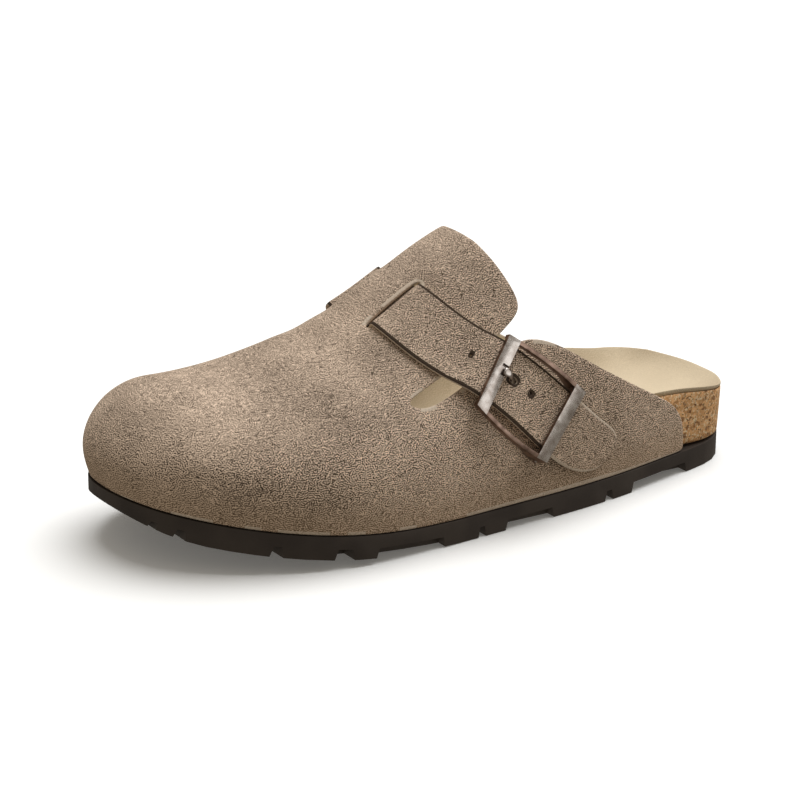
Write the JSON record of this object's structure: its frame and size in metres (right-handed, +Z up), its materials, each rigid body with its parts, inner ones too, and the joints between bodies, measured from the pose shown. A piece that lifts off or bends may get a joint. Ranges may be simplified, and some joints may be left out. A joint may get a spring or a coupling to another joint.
{
  "type": "closed-toe footbed clog, left shoe",
  "caption": "Closed-toe suede clog with a buckled instep strap, an open heel, a cork footbed and a lugged foam sole.",
  "frame": {"origin": "middle of the shoe's box on the floor plane", "axes": "+X from heel to toe, +Y to the outer side of the left foot, +Z up"},
  "size_m": [0.2698, 0.1048, 0.1033],
  "materials": {
    "outsole": "matte moulded foam",
    "footbed": "sanded cork",
    "footbed_liner": "suede",
    "upper": "suede",
    "strap": "suede",
    "buckle_frame": "antique copper plate",
    "buckle_prong": "antique copper plate"
  },
  "bodies": {
    "root": {"outsole": "outsole", "footbed": "footbed", "footbed_liner": "footbed_liner", "upper": "upper", "strap": "strap", "buckle_frame": "buckle_frame", "buckle_prong": "buckle_prong"}
  },
  "joints": []
}
